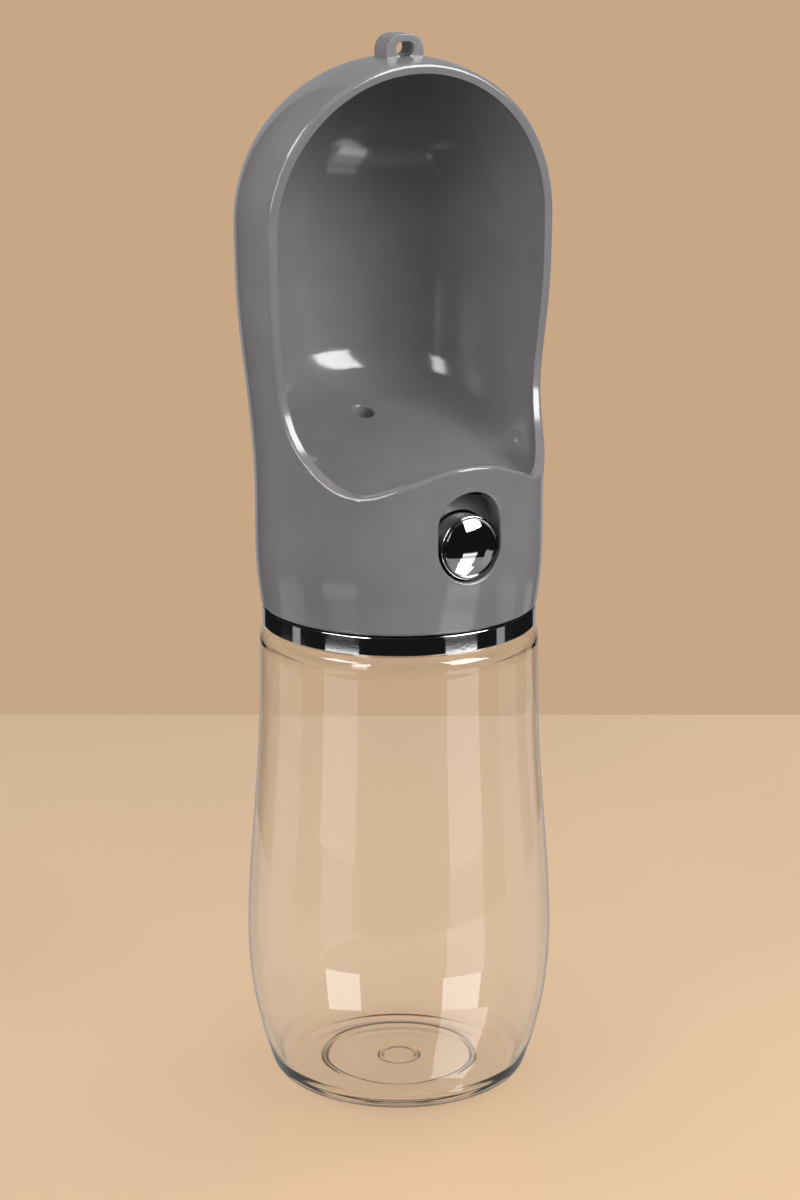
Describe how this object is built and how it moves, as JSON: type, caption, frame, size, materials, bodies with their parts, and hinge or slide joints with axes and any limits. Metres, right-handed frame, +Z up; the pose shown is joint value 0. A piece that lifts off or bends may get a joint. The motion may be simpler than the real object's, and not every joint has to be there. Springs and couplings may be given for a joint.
{
  "type": "pet water dispenser",
  "caption": "Clear bottle under a screw-on hooded drinking head with a sloping bowl, push-button valve, slide lock and carry loop.",
  "frame": {"origin": "on the table under the middle of the whole object's outline, on the bottle's axis", "axes": "+Z up along the bottle, -Y to the front where the bowl and button face, +X to the right seen from behind the bowl"},
  "size_m": [0.0816, 0.0802, 0.27],
  "materials": {
    "clear_plastic": "clear, polished",
    "grey_shell": "grey, glossy",
    "grey_plate": "grey, satin",
    "bright_trim": "bright plated",
    "dark_chrome": "dark plated",
    "white_plastic": "off-white, satin",
    "silicone": "translucent grey, soft",
    "steel": "plain steel"
  },
  "bodies": {
    "bottle": {"bottle": "clear_plastic"},
    "ring": {"chrome_ring": "bright_trim"},
    "head": {"head_shell": "grey_shell", "inner_cap": "white_plastic", "neck_gasket": "silicone", "valve_body": "white_plastic", "inlet_seal": "silicone", "outlet_sleeve": "silicone", "valve_end_cap": "white_plastic", "end_cap_seal": "silicone", "rod_seal": "silicone", "seal_nut": "white_plastic", "valve_spring": "steel", "valve_screws": "steel", "slide_guide": "white_plastic", "guide_screws": "steel"},
    "slider": {"lock_slider": "grey_plate", "button_spring": "steel"},
    "button": {"button_cap": "dark_chrome", "button_stem": "white_plastic", "stem_clip": "steel"},
    "plunger": {"plunger_rod": "steel", "valve_plug": "silicone"}
  },
  "joints": [
    {"name": "head_turn", "type": "hinge", "parent": "bottle", "child": "ring", "pos_m": [0, 0, 0.125], "axis": [0, 0, 1], "range_deg": [0, 405]},
    {"name": "head_lift", "type": "slide", "parent": "ring", "child": "head", "axis": [0, 0, 1], "range_m": [0, 0.00675]},
    {"name": "lock_slide", "type": "slide", "parent": "head", "child": "slider", "axis": [0, 0, 1], "range_m": [0, 0.004]},
    {"name": "button_press", "type": "slide", "parent": "slider", "child": "button", "axis": [0, 1, 0], "range_m": [0, 0.003], "stiffness_N_per_m": 200, "springref_m": -0.004, "deforming": ["button_spring"]},
    {"name": "plunger_slide", "type": "slide", "parent": "head", "child": "plunger", "axis": [0, 1, 0], "range_m": [0, 0.003], "stiffness_N_per_m": 300, "springref_m": -0.004, "deforming": ["valve_spring"]}
  ],
  "couplings": [
    {"joint": "head_lift", "follows": "head_turn", "m_per_rad": 0.00095493},
    {"joint": "plunger_slide", "follows": "button_press", "ratio": 1}
  ]
}
